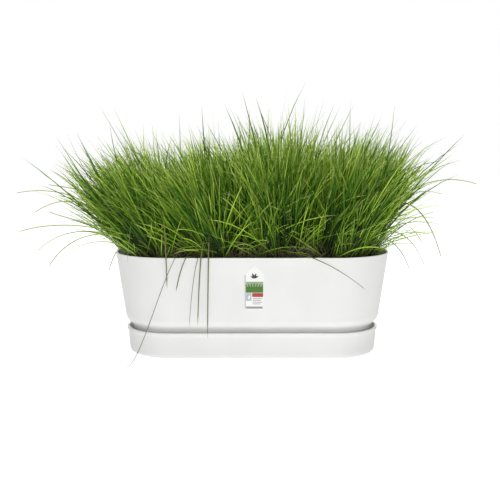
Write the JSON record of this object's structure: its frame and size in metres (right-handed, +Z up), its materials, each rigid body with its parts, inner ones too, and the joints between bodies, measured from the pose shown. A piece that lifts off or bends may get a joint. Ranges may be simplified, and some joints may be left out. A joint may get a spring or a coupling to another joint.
{
  "type": "indoor herb planter",
  "caption": "Long moulded trough with rounded ends in a deep matching saucer, planted with a dense grass-like herb whose leaves fan out and arch over the rim.",
  "frame": {"origin": "middle of the saucer's flat underside", "axes": "+X along the trough to the right as seen from the front, +Y to the back, +Z up; the label faces -Y"},
  "size_m": [0.8704, 0.3445, 0.4975],
  "materials": {
    "pot_plastic": "smooth white moulded plastic with a soft sheen",
    "label_card": "satin printed card",
    "compost": "dark crumbly potting compost",
    "roots": "matted pale roots in compost",
    "foliage": "fine green grass leaves with a slight sheen"
  },
  "bodies": {
    "saucer": {"saucer": "pot_plastic"},
    "trough": {"trough": "pot_plastic", "front_label": "label_card"},
    "planting": {"potting_soil": "compost", "root_ball_1": "roots", "grass_plant_1": "foliage", "root_ball_2": "roots", "grass_plant_2": "foliage", "root_ball_3": "roots", "grass_plant_3": "foliage", "root_ball_4": "roots", "grass_plant_4": "foliage", "root_ball_5": "roots", "grass_plant_5": "foliage", "root_ball_6": "roots", "grass_plant_6": "foliage", "root_ball_7": "roots", "grass_plant_7": "foliage", "root_ball_8": "roots", "grass_plant_8": "foliage", "arching_leaves_front": "foliage", "arching_leaves_left": "foliage", "arching_leaves_right": "foliage"}
  },
  "joints": [
    {"name": "trough_lift", "type": "slide", "parent": "saucer", "child": "trough", "axis": [0, 0, 1], "range_m": [0, 0.1]},
    {"name": "planting_lift", "type": "slide", "parent": "trough", "child": "planting", "axis": [0, 0, 1], "range_m": [0, 0.2]}
  ]
}
